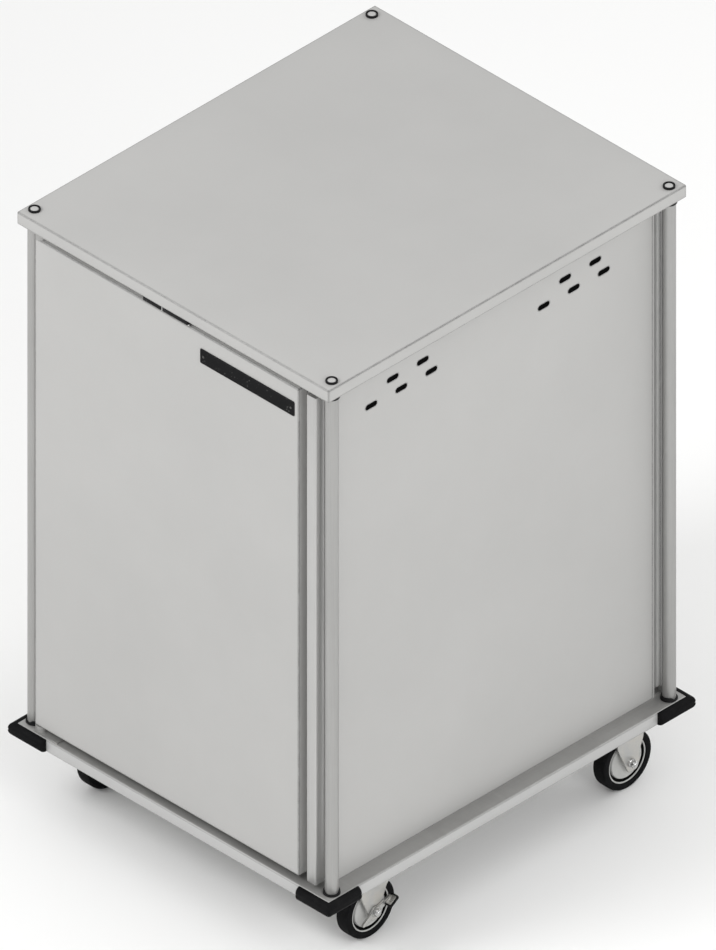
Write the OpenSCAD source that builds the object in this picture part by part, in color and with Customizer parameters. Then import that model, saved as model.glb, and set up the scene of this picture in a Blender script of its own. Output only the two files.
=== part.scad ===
// Insulated food carrier: a double-ended cabinet for meal trays on a wheeled platform.
// Frame: millimetres, origin on the floor under the centre, +Z up, the front door faces -Y.

/* [Platform and cover] */
// Width of the platform and of the top cover
body_w = 830; // [760:1:900]
// Depth of the platform and of the top cover
body_d = 953; // [900:1:1050]
// Height of the platform's top face above the floor
deck_z = 188; // [180:0.5:195]
// Height of the platform's skirt
deck_t = 27.5; // [24:0.5:30]
// Clear height between the platform and the cover
clear_h = 1151; // [1100:1:1200]
// Thickness of the top cover
cover_t = 27; // [22:1:32]
// Sheet thickness of the platform and the cover
sheet = 2; // [1.5:0.5:2.5]

/* [Cabinet] */
// Distance from the platform's side edge to the side panel's face
side_inset = 40; // [38:1:45]
// Distance from the platform's front edge to the cabinet's front face
end_inset = 46.5; // [46:0.5:52]
// Thickness of the insulated walls, floor and roof
wall_t = 25; // [22:1:30]
// Thickness of the side panels' and the liner's sheet
skin_t = 1.5; // [1:0.5:2]
// Depth of the frame around each door opening
breaker_d = 4; // [3:1:6]

/* [Vents] */
// Length of a vent slot
vent_l = 31; // [24:1:32]
// Height of a vent slot
vent_h = 12; // [8:1:13]
// Distance between the vents in a row
vent_pitch = 80; // [70:1:90]
// Distance from the cover's top to the lower row of vents
vent_drop = 128.5; // [110:0.5:140]
// Height of the upper row above the lower row
vent_rise = 34.5; // [30:0.5:40]

/* [Corner posts] */
// Outer diameter of a post
post_d = 26.9; // [24:0.1:28]
// Wall thickness of a post
post_wall = 2; // [1.5:0.5:3]
// Distance from the platform's side edge to a post's centre
post_in_x = 19.5; // [18.5:0.5:20.5]
// Distance from the platform's front edge to a post's centre
post_in_y = 27.5; // [26:0.5:29]

/* [Doors] */
// Width of a door
door_w = 748; // [740:1:750]
// Thickness of a door without its gasket
door_t = 32; // [30:1:32]
// Gap above and below a door
door_gap = 14.75; // [14:0.25:18]
// Distance from the platform's front edge to the door's face
door_in = 6.5; // [6:0.5:8]
// Depth of the raised panel and the grip in front of the back panel
door_front_t = 24; // [20:1:24]
// Width of the full-height grip
grip_w = 25; // [20:1:30]
// Width of the finger groove beside the grip
groove_w = 20; // [18:1:26]
// Distance from the door's hinge edge and face to the pivot's axis
pivot_in = 9.5; // [9:0.5:10]

/* [Tray slides] */
// Number of tray levels
levels = 9; // [6:1:9]
// Height from one tray level to the next
level_pitch = 115; // [110:1:115]
// Width of a tray ledge
ledge_w = 18; // [12:1:20]

/* [Casters] */
// Diameter of a wheel
wheel_d = 127; // [120:1:127]
// Width of a tyre
tyre_w = 32; // [28:1:34]
// Distance from the platform's side edge to the middle of a wheel
caster_in_x = 69.5; // [60:0.5:80]
// Distance from the platform's front edge to a front caster's swivel axis
swivel_in_y = 202; // [185:0.5:215]
// Distance from the platform's rear edge to a rear wheel's axle
rigid_in_y = 102.5; // [98:0.5:120]
// Distance from the swivel axis to the front wheel's axle
trail = 35; // [30:1:36]

/* [Hidden] */
$fn = 48;
EPS = 0.01;
// How far a cut runs past the face that it opens
CUT = 1;

STEEL = "silver";
PAINT = "lightgray";
BLACK = [0.12, 0.12, 0.12];
FOAM = "wheat";

half_w = body_w / 2;
half_d = body_d / 2;
cover_z = deck_z + clear_h;
cover_top = cover_z + cover_t;

// Cabinet faces
cab_x = half_w - side_inset;
cab_y = half_d - end_inset;
in_x = cab_x - wall_t;
floor_z = deck_z + wall_t;
roof_z = cover_z - wall_t;
shell_y = cab_y - breaker_d;

// Posts and their fittings
post_x = half_w - post_in_x;
post_y = half_d - post_in_y;
post_r = post_d / 2;
collar_r = 17;
collar_h = 8.5;
collar_floor = 3;
bolt_r = 5;
bolt_hole_r = 5.2;
bolt_head_r = 8.75;
bolt_head_h = 4;
bolt_dome_r = 14;
bolt_short = 5;
bush_r = 12;
bush_hole_r = 12.3;
bush_proud = 4.5;
bush_seat_r = 9.1;
bush_seat = 4.2;
bush_h = cover_t - sheet + bush_proud;
plug_l = 30;
corners = [[-1, -1], [1, -1], [-1, 1], [1, 1]];

// Corner bumpers
bumper_leg = 78;
bumper_r = deck_t / 2;

// Doors, drawn as the front door
door_x = door_w / 2;
door_y = -half_d + door_in;
door_z = deck_z + door_gap;
door_h = clear_h - 2 * door_gap;
panel_w = door_w - grip_w - groove_w;
door_skin_t = 1.5;
grip_wall = 2;
grip_cap = 3;
gasket_w = 14;
gasket_in = 12;
gasket_gap = 0.3;
gasket_t = end_inset - door_in - door_t - gasket_gap;
pivot_x = -door_x + pivot_in;
pivot_y = door_y + pivot_in;
pin_r = 5;
pin_hole_r = 5.05;
pin_hole_gap = 0.2;
pin_reach = 11;
pin_root = 10;
block = [20, 17, 45];
bracket = [60, 40, 3];
bracket_at = [-7, -13, 0];
boss_r = 12;
catch_l = 118;
catch_split = 48;
catch_notch = 3;
catch_d = 20;
catch_h = 11;
catch_proud = 4.3;
catch_face = 5;
strike_t = 3;
plate_l = 250.5;
plate_h = 33;
plate_t = 2;
plate_r = 3;
plate_side = 10.8;
plate_drop = 34;
rivet_r = 2.5;
rivet_h = 1;
rivet_in = 9;

// Vents: two groups on each side, three slots below and two above
vent_z = cover_top - vent_drop;
vent_first = 153.5;
vent_group = 459;
vent_shift = 57;
vent_depth = 18;
vent_recess = 6;
vent_rim = 1.5;
vent_at = concat(
    [for (g = [0, 1], i = [0 : 2]) [vent_first + g * vent_group + i * vent_pitch, 0]],
    [for (g = [0, 1], i = [0, 1]) [vent_first + g * vent_group + vent_shift + i * vent_pitch, vent_rise]]
);

// Tray racks
rack_y = 400;
upright_t = 3;
upright_w = 25;
rack_up_y = [-rack_y + upright_w / 2, 0, rack_y - upright_w / 2];
first_level = floor_z + 45;
ledge_t = 1.5;
ledge_lip = 15;
centre_t = 12;

// Casters
wheel_r = wheel_d / 2;
caster_x = half_w - caster_in_x;
swivel_y = -half_d + swivel_in_y;
front_axle_y = swivel_y - trail;
rear_axle_y = half_d - rigid_in_y;
plate_top = 159;
caster_plate = [67, 95, 4];
cross_w = 110;
cross_wall = 2;
caster_bolt_r = 4;
caster_bolt_l = 13;
caster_head_r = 6.5;
caster_head_h = 4;
caster_nut_r = 7.5;
caster_nut_h = 5;
caster_bolt_hole_r = 4.3;
caster_bolt_x = 25;
caster_bolt_y = 39;
race_r = 27;
race_h = 7;
race_gap = 0.3;
crown_top = 142;
crown_t = 4;
crown_y = [-50, 30];
ring_r = 25;
king_r = 6;
king_hole_r = 6.08;
king_head_r = 11;
king_head_h = 5;
leg_in = 20;
leg_t = 4;
leg_out = leg_in + leg_t;
leg_foot = [
    [-36, 46], [-9, -17.5], [-5, -21.5], [14, -21.5], [18, -17.5], [24, -2], [23.5, 18], [34, 46]
];
rigid_top_w = 62;
swivel_wing = 12;
axle_r = 5;
axle_hole_r = 5.05;
hub_hole_r = 5.08;
axle_head_h = 6.5;
axle_head_r = 8.5;
spacer_r = 9.5;
axle_out = 14;
axle_in = 10;
hub_w = 37;
hub_r = 15;
web_r = 40;
rim_in = 46;
rim_r = 49;
web_t = 14;
rim_t = 26;
pedal_t = 4;
pedal_gap = 0.6;
pedal_r = 11;
pedal_arm = [
    [-36, -17], [-34, -21], [-29, -22], [-10, -11], [10, -6], [24, 3.5], [41, 9.5], [44, 13],
    [43, 18], [38, 20], [22, 15], [8, 10], [-6, 10], [-16, -2], [-32, -12.5]
];
pedal_pad = [[22.6, 7], [25.4, 3], [47.4, 18], [44.6, 22]];
pedal_pad_w = 20;

// Puts the children at all four corners of a rectangle
module at_corners(x, y) {
    for (c = corners) translate([c[0] * x, c[1] * y, 0]) children();
}

// A box centred in x and y that stands on z = 0
module block_on(w, d, h) {
    translate([-w / 2, -d / 2, 0]) cube([w, d, h]);
}

// A box between two x, two y and two z values
module span_box(x, y, z) {
    translate([x[0], y[0], z[0]]) cube([x[1] - x[0], y[1] - y[0], z[1] - z[0]]);
}

// A round hole from z up by h that runs past both faces
module drill(r, z, h) {
    translate([0, 0, z - CUT]) cylinder(r = r, h = h + 2 * CUT);
}

// Platform -----------------------------------------------------------------

// Folded deck with a skirt all round, open below
module base_pan() {
    color(STEEL) difference() {
        translate([0, 0, deck_z - deck_t]) block_on(body_w, body_d, deck_t);
        translate([0, 0, deck_z - deck_t - CUT])
            block_on(body_w - 2 * sheet, body_d - 2 * sheet, deck_t - sheet + CUT);
        at_corners(post_x, post_y) drill(bolt_hole_r, deck_z - sheet, sheet);
    }
}

// The four bolt places of one caster plate, at each caster
module at_caster_bolts() {
    for (c = [[-1, swivel_y], [1, swivel_y], [-1, rear_axle_y], [1, rear_axle_y]])
        translate([c[0] * caster_x, c[1], 0]) at_corners(caster_bolt_x, caster_bolt_y) children();
}

// Flat hollow members under the deck that carry the casters
module base_crossmembers() {
    h = deck_z - sheet - plate_top;
    color(STEEL) difference() {
        for (y = [swivel_y, rear_axle_y])
            translate([0, y, plate_top]) difference() {
                block_on(body_w - 2 * sheet, cross_w, h);
                translate([0, 0, cross_wall])
                    block_on(body_w, cross_w - 2 * cross_wall, h - 2 * cross_wall);
            }
        at_caster_bolts() drill(caster_bolt_hole_r, plate_top, cross_wall);
    }
}

// A half-round bar along x or y, lying against the skirt's face
module bumper_bar(along_x, from, to) {
    z = deck_z - bumper_r;
    if (along_x) translate([from, half_d, z]) rotate([0, 90, 0]) cylinder(r = bumper_r, h = to - from);
    else translate([half_w, from, z]) rotate([-90, 0, 0]) cylinder(r = bumper_r, h = to - from);
}

// Half-round bumper around one corner, with a mitre where the legs meet
module bumper(sx, sy) {
    reach = bumper_r + CUT;
    color(BLACK) mirror([sx < 0 ? 1 : 0, 0, 0]) mirror([0, sy < 0 ? 1 : 0, 0])
        difference() {
            union() {
                bumper_bar(true, half_w - bumper_leg, half_w);
                bumper_bar(false, half_d - bumper_leg, half_d);
                intersection() {
                    bumper_bar(true, half_w - reach, half_w + reach);
                    bumper_bar(false, half_d - reach, half_d + reach);
                }
            }
            translate([0, 0, deck_z - deck_t - CUT]) block_on(body_w, body_d, deck_t + 2 * CUT);
        }
}

// Corner posts -------------------------------------------------------------

// Tube between the collars, with a drilled plug welded into each end
module post(sx, sy) {
    h = clear_h - 2 * collar_floor;
    color(PAINT) translate([sx * post_x, sy * post_y, deck_z + collar_floor])
        difference() {
            cylinder(r = post_r, h = h);
            translate([0, 0, plug_l]) cylinder(r = post_r - post_wall, h = h - 2 * plug_l);
            drill(bolt_r, 0, h);
        }
}

// Cup that holds one end of a post
module collar() {
    difference() {
        cylinder(r = collar_r, h = collar_h);
        translate([0, 0, collar_floor]) cylinder(r = post_r, h = collar_h);
        drill(bolt_hole_r, 0, collar_floor);
    }
}

// Bush that takes a bolt through the cover, with a cup for the bolt's head
module cover_bush() {
    translate([0, 0, cover_z + sheet]) difference() {
        cylinder(r = bush_r, h = bush_h);
        drill(bolt_hole_r, 0, bush_h);
        translate([0, 0, bush_h - bush_seat]) cylinder(r = bush_seat_r, h = bush_seat + CUT);
    }
}

// Two cups for each post, one at each end, and a bush in the cover above it
module post_collars() {
    color(BLACK) at_corners(post_x, post_y) {
        translate([0, 0, deck_z]) collar();
        translate([0, 0, cover_z]) mirror([0, 0, 1]) collar();
        cover_bush();
    }
}

// Button-head bolt that stands on z = 0 with its shank below
module button_bolt(shank) {
    translate([0, 0, -shank]) cylinder(r = bolt_r, h = shank);
    rotate_extrude() intersection() {
        translate([0, bolt_head_h - bolt_dome_r]) circle(r = bolt_dome_r);
        square([bolt_head_r, bolt_head_h]);
    }
}

// Bolts that clamp the cover and the platform to the posts
module post_bolts() {
    grip = collar_floor + plug_l - bolt_short;
    seat = bush_proud - bush_seat;
    color(STEEL) at_corners(post_x, post_y) {
        translate([0, 0, cover_top + seat]) button_bolt(seat + cover_t + grip);
        translate([0, 0, deck_z - sheet]) mirror([0, 0, 1]) button_bolt(sheet + grip);
    }
}

// Cover --------------------------------------------------------------------

// Folded cover with a skirt all round
module top_cover() {
    color(PAINT) difference() {
        translate([0, 0, cover_z]) block_on(body_w, body_d, cover_t);
        translate([0, 0, cover_z - CUT])
            block_on(body_w - 2 * sheet, body_d - 2 * sheet, cover_t - sheet + CUT);
        at_corners(post_x, post_y) drill(bush_hole_r, cover_top - sheet, sheet);
    }
}

// Sheet that closes the cover from below
module top_underpan() {
    color(STEEL) difference() {
        translate([0, 0, cover_z]) block_on(body_w - 2 * sheet, body_d - 2 * sheet, sheet);
        at_corners(post_x, post_y) drill(bolt_hole_r, cover_z, sheet);
    }
}

// Cabinet ------------------------------------------------------------------

// A stadium-shaped bar along x, centred on x = 0
module slot_bar(l, h, depth) {
    rotate([90, 0, 90]) translate([0, 0, -depth / 2]) linear_extrude(depth) {
        square([l - h, h], center = true);
        for (s = [-1, 1]) translate([s * (l - h) / 2, 0]) circle(d = h);
    }
}

// Puts the children at each vent of one side, at distance x from the middle
module at_vents(side, x) {
    for (v = vent_at) translate([side * x, -half_d + v[0], vent_z + v[1]]) children();
}

// Outer side panel: a sheet with a flange at each end and the vent slots
module side_panel(side) {
    color(PAINT) difference() {
        mirror([side < 0 ? 1 : 0, 0, 0]) {
            span_box([cab_x - skin_t, cab_x], [-shell_y, shell_y], [deck_z, cover_z]);
            for (s = [-1, 1])
                span_box([in_x + skin_t, cab_x], [min(s * shell_y, s * (shell_y - skin_t)),
                    max(s * shell_y, s * (shell_y - skin_t))], [deck_z, cover_z]);
        }
        at_vents(side, cab_x) slot_bar(vent_l, vent_h, 4 * skin_t);
    }
}

module side_panel_left() side_panel(-1);
module side_panel_right() side_panel(1);

// Foam: two walls with pockets for the vents, a floor, a roof and the slab inside the cover
module insulation() {
    core_y = shell_y - skin_t;
    color(FOAM) {
        for (side = [-1, 1]) difference() {
            mirror([side < 0 ? 1 : 0, 0, 0])
                span_box([in_x + skin_t, cab_x - skin_t], [-core_y, core_y], [deck_z, cover_z]);
            at_vents(side, cab_x - vent_depth / 2) slot_bar(vent_l, vent_h, vent_depth + EPS);
        }
        for (z = [[deck_z, floor_z - skin_t], [roof_z + skin_t, cover_z]])
            span_box([-in_x - skin_t, in_x + skin_t], [-shell_y, shell_y], z);
        difference() {
            translate([0, 0, cover_z + sheet])
                block_on(body_w - 2 * sheet, body_d - 2 * sheet, cover_t - 2 * sheet);
            at_corners(post_x, post_y) drill(bush_hole_r, cover_z + sheet, cover_t - 2 * sheet);
        }
    }
}

// Folded inner liner, open at both ends
module inner_liner() {
    color(STEEL) difference() {
        span_box([-in_x - skin_t, in_x + skin_t], [-shell_y, shell_y], [floor_z - skin_t, roof_z + skin_t]);
        span_box([-in_x, in_x], [-half_d, half_d], [floor_z, roof_z]);
    }
}

// Frame around a door opening that joins the panels to the liner
module breaker(s) {
    color(PAINT) difference() {
        span_box([-cab_x, cab_x], s < 0 ? [-cab_y, -shell_y] : [shell_y, cab_y], [deck_z, cover_z]);
        span_box([-in_x, in_x], [-half_d, half_d], [floor_z, roof_z]);
    }
}

module breaker_front() breaker(-1);
module breaker_rear() breaker(1);

// Recessed vent insert: a plug with a sunk face
module vent_plugs() {
    color(BLACK) for (side = [-1, 1]) difference() {
        at_vents(side, cab_x - vent_depth / 2) slot_bar(vent_l, vent_h, vent_depth);
        at_vents(side, cab_x)
            slot_bar(vent_l - 2 * vent_rim, vent_h - 2 * vent_rim, 2 * vent_recess);
    }
}

// Uprights of a rack from the cabinet's floor to its roof, from x0 to x1
module uprights(x0, x1) {
    for (y = rack_up_y)
        span_box([x0, x1], [y - upright_w / 2, y + upright_w / 2], [floor_z, roof_z]);
}

// Angle ledge with its lip against x = 0, reaching towards +x
module ledge() {
    translate([0, -rack_y, 0]) cube([ledge_w, 2 * rack_y, ledge_t]);
    translate([0, -rack_y, 0]) cube([ledge_t, 2 * rack_y, ledge_lip]);
}

// Ledges at every level
module ledges() {
    for (i = [0 : levels - 1]) translate([0, 0, first_level + i * level_pitch]) ledge();
}

module tray_rack_left() {
    color(STEEL) {
        uprights(-in_x, -in_x + upright_t);
        translate([-in_x + upright_t, 0, 0]) ledges();
    }
}

module tray_rack_right() {
    mirror([1, 0, 0]) tray_rack_left();
}

module tray_rack_centre() {
    color(STEEL) {
        uprights(-centre_t / 2, centre_t / 2);
        translate([centre_t / 2, 0, 0]) ledges();
        mirror([1, 0, 0]) translate([centre_t / 2, 0, 0]) ledges();
    }
}

// Doors --------------------------------------------------------------------

// Places a door's parts: the rear door is the front one turned half round
module for_door(front) {
    rotate([0, 0, front ? 0 : 180]) children();
}

// The pin's way through a door's edge sheet, at the top and the bottom
module pivot_holes() {
    translate([pivot_x, pivot_y, 0]) drill(pin_r + pin_hole_gap, door_z, door_h);
}

// Raised front panel: a pan open at the back
module door_skin(front) {
    color(PAINT) for_door(front) difference() {
        translate([-door_x, door_y, door_z]) cube([panel_w, door_front_t, door_h]);
        translate([-door_x + door_skin_t, door_y + door_skin_t, door_z + door_skin_t])
            cube([panel_w - 2 * door_skin_t, door_front_t, door_h - 2 * door_skin_t]);
        pivot_holes();
    }
}

// The corner blocks that hold the pivot pins, cut out of the foam
module pivot_blocks() {
    for (z = [door_z + door_skin_t, door_z + door_h - door_skin_t - block[2]])
        translate([-door_x + door_skin_t, door_y + door_skin_t, z]) cube(block);
}

module door_core(front) {
    color(FOAM) for_door(front) difference() {
        translate([-door_x + door_skin_t, door_y + door_skin_t, door_z + door_skin_t])
            cube([panel_w - 2 * door_skin_t, door_front_t - door_skin_t, door_h - 2 * door_skin_t]);
        pivot_blocks();
    }
}

// Flat back panel that also closes the finger groove
module door_back(front) {
    color(PAINT) for_door(front)
        translate([-door_x, door_y + door_front_t, door_z]) cube([door_w, door_t - door_front_t, door_h]);
}

// Gasket ring on the back panel
module door_gasket(front) {
    y0 = door_y + door_t;
    color(BLACK) for_door(front) difference() {
        span_box([-door_x + gasket_in, door_x - gasket_in], [y0, y0 + gasket_t],
            [door_z + gasket_in, door_z + door_h - gasket_in]);
        span_box([-door_x + gasket_in + gasket_w, door_x - gasket_in - gasket_w],
            [y0 - CUT, y0 + gasket_t + CUT],
            [door_z + gasket_in + gasket_w, door_z + door_h - gasket_in - gasket_w]);
    }
}

// Full-height box grip with closed ends
module door_grip(front) {
    color(STEEL) for_door(front) difference() {
        translate([door_x - grip_w, door_y, door_z]) cube([grip_w, door_front_t, door_h]);
        translate([door_x - grip_w + grip_wall, door_y + grip_wall, door_z + grip_cap])
            cube([grip_w - 2 * grip_wall, door_front_t - 2 * grip_wall, door_h - 2 * grip_cap]);
    }
}

// Two corner blocks, each with a pin that stands out of the door's edge
module door_pivots(front) {
    color(STEEL) for_door(front) {
        pivot_blocks();
        for (z = [door_z - pin_reach, door_z + door_h - pin_root])
            translate([pivot_x, pivot_y, z]) cylinder(r = pin_r, h = pin_reach + pin_root);
    }
}

// Steel strike on the door's top edge
module door_strike(front) {
    mid = -door_x + panel_w / 2;
    color(STEEL) for_door(front)
        span_box([mid - catch_l / 2, mid + catch_l / 2], [door_y, door_y + catch_d],
            [door_z + door_h, door_z + door_h + strike_t]);
}

// Blank plate near the top of the front door, towards the grip
module nameplate() {
    x0 = -door_x + panel_w - plate_side - plate_l;
    z0 = door_z + door_h - plate_drop - plate_h;
    color(BLACK) translate([x0, door_y, z0]) rotate([90, 0, 0]) linear_extrude(plate_t) {
        translate([plate_r, 0]) square([plate_l - 2 * plate_r, plate_h]);
        translate([0, plate_r]) square([plate_l, plate_h - 2 * plate_r]);
        for (x = [plate_r, plate_l - plate_r], z = [plate_r, plate_h - plate_r])
            translate([x, z]) circle(r = plate_r);
    }
}

// Domed heads that hold the plate, one near each end
module nameplate_rivets() {
    x0 = -door_x + panel_w - plate_side - plate_l;
    z = door_z + door_h - plate_drop - plate_h / 2;
    dome_r = (rivet_r * rivet_r + rivet_h * rivet_h) / (2 * rivet_h);
    color(STEEL) for (x = [x0 + rivet_in, x0 + plate_l - rivet_in])
        translate([x, door_y - plate_t, z]) rotate([90, 0, 0]) rotate_extrude() intersection() {
            translate([0, rivet_h - dome_r]) circle(r = dome_r);
            square([rivet_r, rivet_h]);
        }
}

// Black two-part magnetic catch under the cover's edge, over each door
module door_catches() {
    mid = -door_x + panel_w / 2;
    y = [door_y - catch_proud, door_y + catch_d];
    z = [cover_z - catch_h, cover_z];
    color(BLACK) for (front = [true, false]) for_door(front) {
        span_box([mid - catch_l / 2, mid - catch_l / 2 + catch_split], y, z);
        span_box([mid - catch_l / 2 + catch_split + catch_notch, mid + catch_l / 2], y, z);
        span_box([mid - catch_l / 2, mid + catch_l / 2], [y[0] + catch_face, y[1]], z);
    }
}

// Plate with a drilled boss for one pivot pin, standing on z = 0
module hinge_bracket() {
    boss_h = door_gap - gasket_gap;
    difference() {
        union() {
            translate(bracket_at) cube(bracket);
            cylinder(r = boss_r, h = boss_h);
        }
        drill(pin_hole_r, 0, boss_h);
    }
}

// One bracket below and one above each door's hinge edge
module hinge_brackets() {
    color(STEEL) for (front = [true, false]) for_door(front) translate([pivot_x, pivot_y, 0]) {
        translate([0, 0, deck_z]) hinge_bracket();
        translate([0, 0, cover_z]) mirror([0, 0, 1]) hinge_bracket();
    }
}

// Casters ------------------------------------------------------------------

// Drilled top plate of a caster, its top face at plate_top
module top_plate() {
    translate([0, 0, plate_top - caster_plate[2]]) difference() {
        block_on(caster_plate[0], caster_plate[1], caster_plate[2]);
        at_corners(caster_bolt_x, caster_bolt_y) drill(caster_bolt_hole_r, 0, caster_plate[2]);
    }
}

// Front casters' top plates, each with its race and kingpin
module swivel_plates() {
    z = plate_top - caster_plate[2];
    king_z = crown_top - crown_t - king_head_h - race_gap;
    color(STEEL) for (s = [-1, 1]) translate([s * caster_x, swivel_y, 0]) {
        top_plate();
        translate([0, 0, z - race_h]) cylinder(r = race_r, h = race_h + EPS);
        translate([0, 0, king_z]) cylinder(r = king_r, h = z - king_z);
        translate([0, 0, king_z]) cylinder(r = king_head_r, h = king_head_h);
    }
}

// Both legs of a fork about x = 0: the foot's outline about the axle, closed by the upper points
module fork_legs(upper, axle_y) {
    for (x = [-leg_out, leg_in]) translate([x, axle_y, wheel_r])
        rotate([90, 0, 90]) linear_extrude(leg_t) difference() {
            polygon(concat(leg_foot, upper));
            circle(r = axle_hole_r);
        }
}

// Swivelling fork: crown, lower race and two legs that lean to the axle
module fork(s) {
    ring_h = plate_top - caster_plate[2] - race_h - race_gap - crown_top;
    top = crown_top - wheel_r;
    back = trail + crown_y[1];
    color(STEEL) translate([s * caster_x, swivel_y, 0]) difference() {
        union() {
            fork_legs([[back, top - swivel_wing], [back, top], [trail + crown_y[0], top]], -trail);
            span_box([-leg_out, leg_out], crown_y, [crown_top - crown_t, crown_top]);
            translate([0, 0, crown_top - EPS]) cylinder(r = ring_r, h = ring_h + EPS);
        }
        drill(king_hole_r, crown_top - crown_t, crown_t + ring_h);
    }
}

// Rear casters' fixed forks
module rigid_forks() {
    top = plate_top - caster_plate[2] + EPS - wheel_r;
    color(STEEL) for (s = [-1, 1]) translate([s * caster_x, rear_axle_y, 0]) {
        top_plate();
        fork_legs([[rigid_top_w / 2, top], [-rigid_top_w / 2, top]], 0);
    }
}

// Axle bolt along x with a hexagon head outboard and a nut inboard
module axle_bolt(s, y) {
    color(STEEL) translate([s * caster_x, y, wheel_r]) rotate([0, s * 90, 0]) {
        translate([0, 0, -leg_out - axle_in])
            cylinder(r = axle_r, h = axle_in + 2 * leg_out + axle_out);
        translate([0, 0, -leg_out - axle_head_h]) cylinder(r = axle_head_r, h = axle_head_h, $fn = 6);
        translate([0, 0, leg_out + pedal_t + 2 * pedal_gap])
            cylinder(r = axle_head_r, h = axle_head_h, $fn = 6);
    }
}

// Bolts through the casters' plates into the crossmembers, each with its nut
module caster_bolts() {
    under = plate_top - caster_plate[2];
    color(STEEL) at_caster_bolts() {
        translate([0, 0, under - caster_head_h]) cylinder(r = caster_head_r, h = caster_head_h);
        translate([0, 0, under - EPS]) cylinder(r = caster_bolt_r, h = caster_bolt_l);
        translate([0, 0, plate_top + cross_wall]) cylinder(r = caster_nut_r, h = caster_nut_h, $fn = 6);
    }
}

module rear_axles() {
    for (s = [-1, 1]) {
        axle_bolt(s, rear_axle_y);
        color(STEEL) translate([s * caster_x, rear_axle_y, wheel_r]) rotate([0, s * 90, 0])
            translate([0, 0, leg_out]) cylinder(r = spacer_r, h = pedal_t + 2 * pedal_gap);
    }
}

// Hub with a web and a raised rim, about the x axis
module hub(s, y) {
    color(PAINT) translate([s * caster_x, y, wheel_r]) rotate([0, 90, 0]) rotate_extrude($fn = 96)
        difference() {
            union() {
                translate([0, -hub_w / 2]) square([hub_r, hub_w]);
                translate([0, -web_t / 2]) square([rim_r, web_t]);
                translate([rim_in, -rim_t / 2]) square([rim_r - rim_in, rim_t]);
            }
            translate([-CUT, -hub_w]) square([hub_hole_r + CUT, 2 * hub_w]);
        }
}

// Tyre with rounded shoulders, about the x axis
module tyre(s, y) {
    shoulder = 3.5;
    color(BLACK) translate([s * caster_x, y, wheel_r]) rotate([0, 90, 0]) rotate_extrude($fn = 96)
        difference() {
            union() {
                translate([rim_r, -tyre_w / 2]) square([wheel_r - rim_r - shoulder, tyre_w]);
                translate([rim_r, -tyre_w / 2 + shoulder])
                    square([wheel_r - rim_r, tyre_w - 2 * shoulder]);
                for (m = [-1, 1]) translate([wheel_r - shoulder, m * (tyre_w / 2 - shoulder)])
                    circle(r = shoulder);
            }
            translate([0, -tyre_w]) square([rim_r, 2 * tyre_w]);
        }
}

// Rocking brake lever on the outboard end of a front axle, with a turned-out pad
module brake_pedal(s) {
    x0 = leg_out + pedal_gap;
    color(STEEL) translate([s * caster_x, front_axle_y, wheel_r]) mirror([s < 0 ? 1 : 0, 0, 0]) {
        translate([x0, 0, 0]) rotate([90, 0, 90]) linear_extrude(pedal_t) difference() {
            union() {
                circle(r = pedal_r);
                polygon(pedal_arm);
            }
            circle(r = axle_hole_r);
        }
        translate([x0, 0, 0]) rotate([90, 0, 90]) linear_extrude(pedal_pad_w) polygon(pedal_pad);
    }
}

base_pan();
base_crossmembers();
bumper(-1, -1);  // bumper_fl
bumper(1, -1);  // bumper_fr
bumper(-1, 1);  // bumper_rl
bumper(1, 1);  // bumper_rr
post(-1, -1);  // post_fl
post(1, -1);  // post_fr
post(-1, 1);  // post_rl
post(1, 1);  // post_rr
post_collars();
post_bolts();
top_cover();
top_underpan();
side_panel_left();
side_panel_right();
insulation();
inner_liner();
breaker_front();
breaker_rear();
tray_rack_left();
tray_rack_centre();
tray_rack_right();
vent_plugs();
door_catches();
hinge_brackets();
swivel_plates();
rigid_forks();
rear_axles();
caster_bolts();
door_skin(true);  // front_door_skin
door_core(true);  // front_door_core
door_back(true);  // front_door_back
door_gasket(true);  // front_door_gasket
door_grip(true);  // front_door_grip
door_pivots(true);  // front_door_pivots
door_strike(true);  // front_door_strike
nameplate();
nameplate_rivets();
door_skin(false);  // rear_door_skin
door_core(false);  // rear_door_core
door_back(false);  // rear_door_back
door_gasket(false);  // rear_door_gasket
door_grip(false);  // rear_door_grip
door_pivots(false);  // rear_door_pivots
door_strike(false);  // rear_door_strike
fork(-1);  // fork_fl
axle_bolt(-1, front_axle_y);  // axle_fl
hub(-1, front_axle_y);  // hub_fl
tyre(-1, front_axle_y);  // tyre_fl
brake_pedal(-1);  // brake_pedal_fl
fork(1);  // fork_fr
axle_bolt(1, front_axle_y);  // axle_fr
hub(1, front_axle_y);  // hub_fr
tyre(1, front_axle_y);  // tyre_fr
brake_pedal(1);  // brake_pedal_fr
hub(-1, rear_axle_y);  // hub_rl
hub(1, rear_axle_y);  // hub_rr
tyre(-1, rear_axle_y);  // tyre_rl
tyre(1, rear_axle_y);  // tyre_rr
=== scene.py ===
"""Looks of an insulated food carrier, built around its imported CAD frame, in metres."""

import math

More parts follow.
